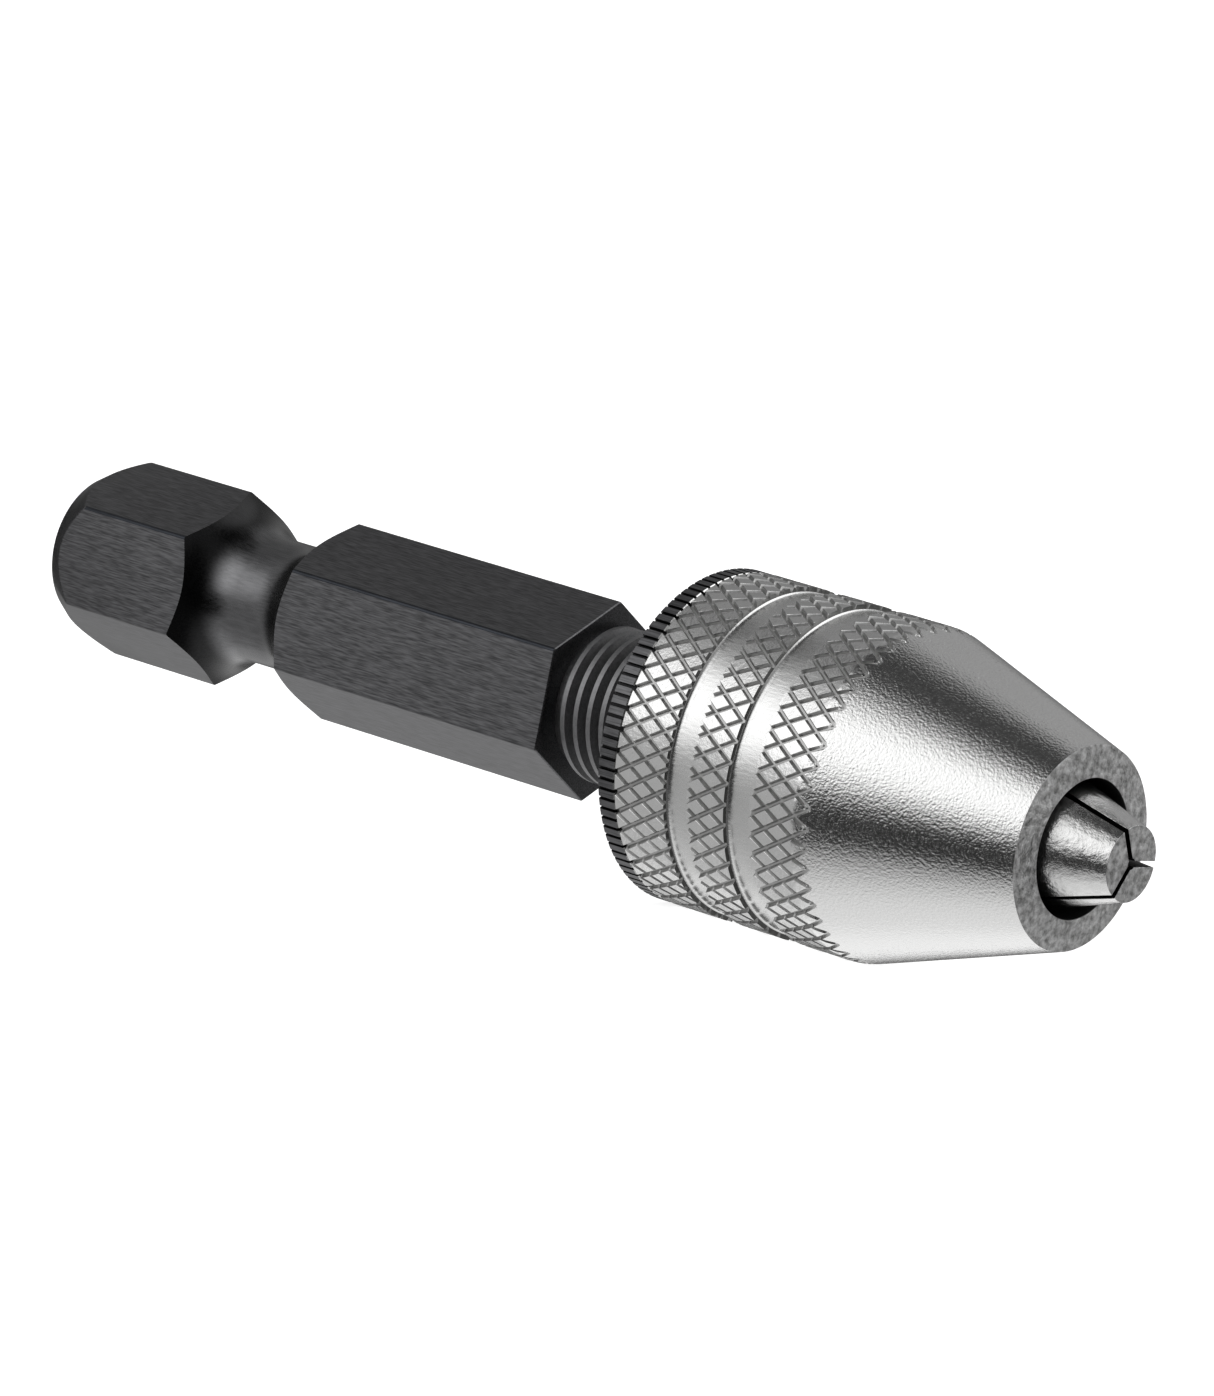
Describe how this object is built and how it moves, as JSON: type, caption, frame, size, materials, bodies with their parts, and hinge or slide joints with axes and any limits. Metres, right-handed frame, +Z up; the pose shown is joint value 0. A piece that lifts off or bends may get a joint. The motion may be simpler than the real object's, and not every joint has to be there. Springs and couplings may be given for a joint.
{
  "type": "drill chuck",
  "caption": "Keyless three-jaw micro drill chuck on a hex quick-change shank: turning the knurled sleeve screws it along the shank, and its inner cone opens or closes the jaws.",
  "frame": {"origin": "centre of the hex shank's flat rear face", "axes": "+X runs along the chuck from the shank's rear face to the jaws. +Z is up through a corner of the hexagon, so two of the hex flats face +Y and -Y."},
  "size_m": [0.0487, 0.0122, 0.0122],
  "materials": {
    "black_steel": "black oxide with fine grinding lines along the flats",
    "black_nut": "black oxide, brushed along the axis",
    "satin_steel": "satin nickel plate over a fine blasted grain",
    "bright_steel": "ground",
    "jaw_steel": "satin, blasted front faces",
    "spring_wire": "drawn spring wire"
  },
  "bodies": {
    "shank": {"hex_shank": "black_steel"},
    "washer": {"thrust_washer": "bright_steel"},
    "sleeve": {"sleeve": "satin_steel", "rear_nut": "black_nut"},
    "jaw_1": {"jaw_1": "jaw_steel"},
    "spring_1": {"jaw_spring_1": "spring_wire"},
    "jaw_2": {"jaw_2": "jaw_steel"},
    "spring_2": {"jaw_spring_2": "spring_wire"},
    "jaw_3": {"jaw_3": "jaw_steel"},
    "spring_3": {"jaw_spring_3": "spring_wire"}
  },
  "joints": [
    {"name": "sleeve_turn", "type": "hinge", "parent": "shank", "child": "washer", "pos_m": [0.0392, 0, 0], "axis": [1, 0, 0], "range_deg": [-130, 3040]},
    {"name": "sleeve_screw", "type": "slide", "parent": "washer", "child": "sleeve", "axis": [1, 0, 0], "range_m": [-0.00022, 0.00506]},
    {"name": "jaw_1_slide", "type": "slide", "parent": "washer", "child": "jaw_1", "axis": [0, -1, 0], "range_m": [-0.00007, 0.0016]},
    {"name": "spring_1_stretch", "type": "slide", "parent": "jaw_1", "child": "spring_1", "axis": [0, 0.866, -0.5], "range_m": [-0.00012, 0.00278], "deforming": ["jaw_spring_1"]},
    {"name": "jaw_2_slide", "type": "slide", "parent": "washer", "child": "jaw_2", "axis": [0, 0.5, -0.866], "range_m": [-0.00007, 0.0016]},
    {"name": "spring_2_stretch", "type": "slide", "parent": "jaw_2", "child": "spring_2", "axis": [0, 0, 1], "range_m": [-0.00012, 0.00278], "deforming": ["jaw_spring_2"]},
    {"name": "jaw_3_slide", "type": "slide", "parent": "washer", "child": "jaw_3", "axis": [0, 0.5, 0.866], "range_m": [-0.00007, 0.0016]},
    {"name": "spring_3_stretch", "type": "slide", "parent": "jaw_3", "child": "spring_3", "axis": [0, -0.866, -0.5], "range_m": [-0.00012, 0.00278], "deforming": ["jaw_spring_3"]}
  ],
  "couplings": [
    {"joint": "sleeve_turn", "follows": "sleeve_screw", "rad_per_m": 10472},
    {"joint": "jaw_1_slide", "follows": "sleeve_screw", "ratio": 0.3153},
    {"joint": "spring_1_stretch", "follows": "sleeve_screw", "ratio": 0.54611},
    {"joint": "jaw_2_slide", "follows": "sleeve_screw", "ratio": 0.3153},
    {"joint": "spring_2_stretch", "follows": "sleeve_screw", "ratio": 0.54611},
    {"joint": "jaw_3_slide", "follows": "sleeve_screw", "ratio": 0.3153},
    {"joint": "spring_3_stretch", "follows": "sleeve_screw", "ratio": 0.54611}
  ]
}
